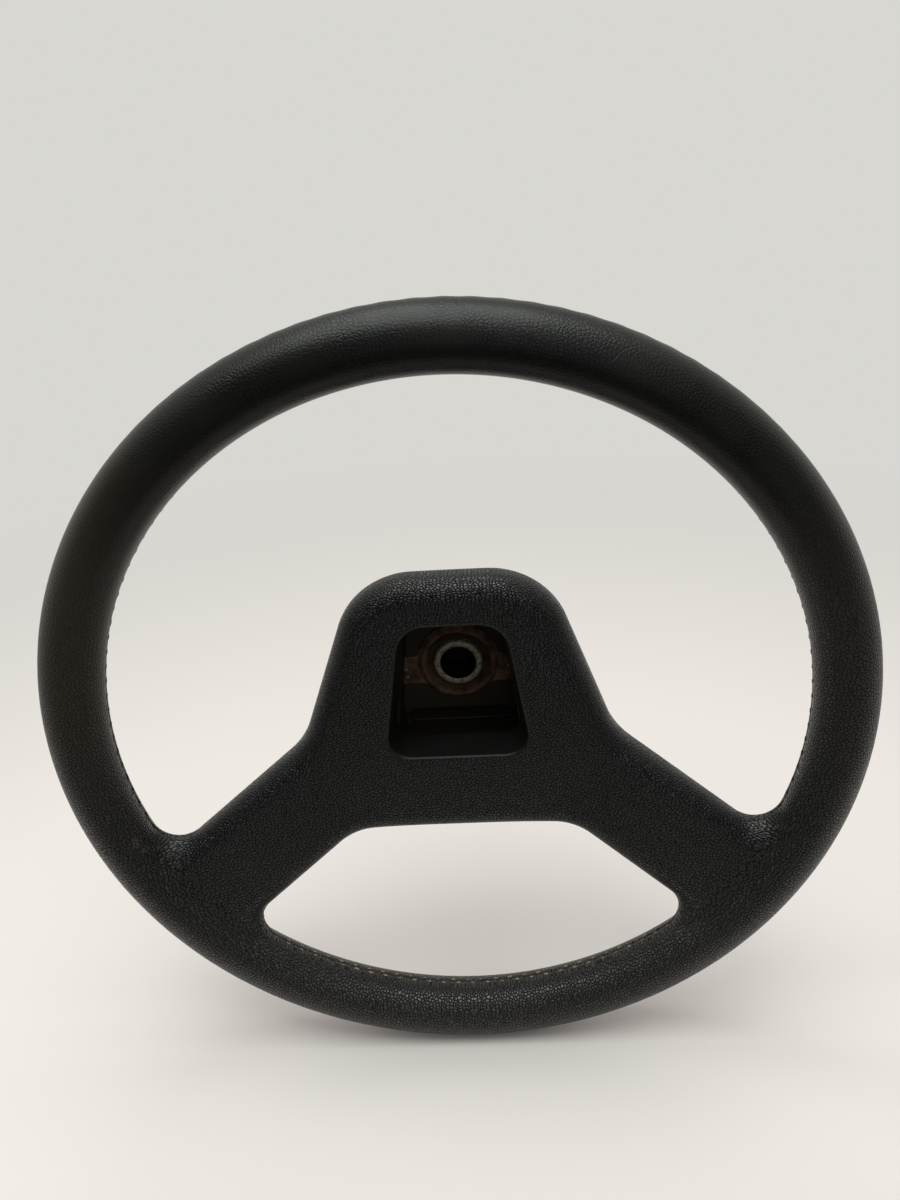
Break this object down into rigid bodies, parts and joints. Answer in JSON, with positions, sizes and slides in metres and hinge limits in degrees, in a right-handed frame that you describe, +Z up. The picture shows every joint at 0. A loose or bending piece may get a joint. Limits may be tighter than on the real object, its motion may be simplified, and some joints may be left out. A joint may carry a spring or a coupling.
{
  "type": "car steering wheel",
  "caption": "Round car steering wheel with a sloping spoke each side, black foam moulded over a steel armature, and an open centre pad showing a rusty hub with a splined bore.",
  "frame": {"origin": "on the column axis at the nut seat, the front face of the splined bush", "axes": "+X to the driver's right, +Y down the column away from the driver, +Z up with the wheel set straight ahead"},
  "size_m": [0.38, 0.0955, 0.38],
  "materials": {
    "black_foam_skin": "pebble grained integral skin, worn smooth on the upper rim",
    "armature_steel": "mill finish, lightly rusted, sealed in foam",
    "rusty_steel": "pressed sheet, rusted",
    "bare_steel": "turned, bare"
  },
  "bodies": {
    "root": {"foam_moulding": "black_foam_skin", "rim_ring": "armature_steel", "left_arm": "armature_steel", "right_arm": "armature_steel", "hub_plate": "rusty_steel", "splined_bush": "bare_steel"}
  },
  "joints": []
}
